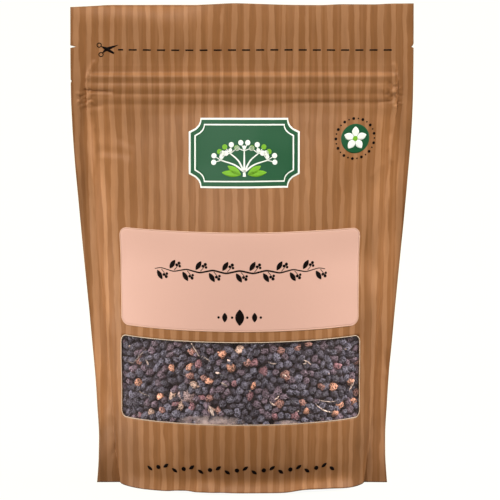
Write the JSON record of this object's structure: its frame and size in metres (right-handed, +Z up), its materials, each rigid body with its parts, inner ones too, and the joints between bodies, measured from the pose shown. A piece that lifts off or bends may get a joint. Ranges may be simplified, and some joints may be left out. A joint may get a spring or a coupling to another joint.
{
  "type": "stand-up pouch of dried elderberries",
  "caption": "Filled kraft-look stand-up pouch with a clear window of dried elderberries, a press-to-close strip, tear notches and a plain front label.",
  "frame": {"origin": "middle of the base, on the surface the pouch stands on", "axes": "+Z up, +X to the right seen from the front, the window and label face -Y"},
  "size_m": [0.15, 0.0578, 0.214],
  "materials": {
    "kraft_film": "satin film printed with uneven kraft-paper stripes",
    "clear_film": "clear glossy film",
    "label_paper": "printed peach, satin",
    "zip_plastic": "milky plastic",
    "dried_fruit": "dull wrinkled dried skin, blue-black with a few brown and orange ones"
  },
  "bodies": {
    "root": {"front_panel": "kraft_film", "back_panel": "kraft_film", "bottom_gusset": "kraft_film", "window_film": "clear_film", "product_label": "label_paper", "zip_groove_strip": "zip_plastic", "zip_rib_strip": "zip_plastic", "dried_berries": "dried_fruit"}
  },
  "joints": []
}
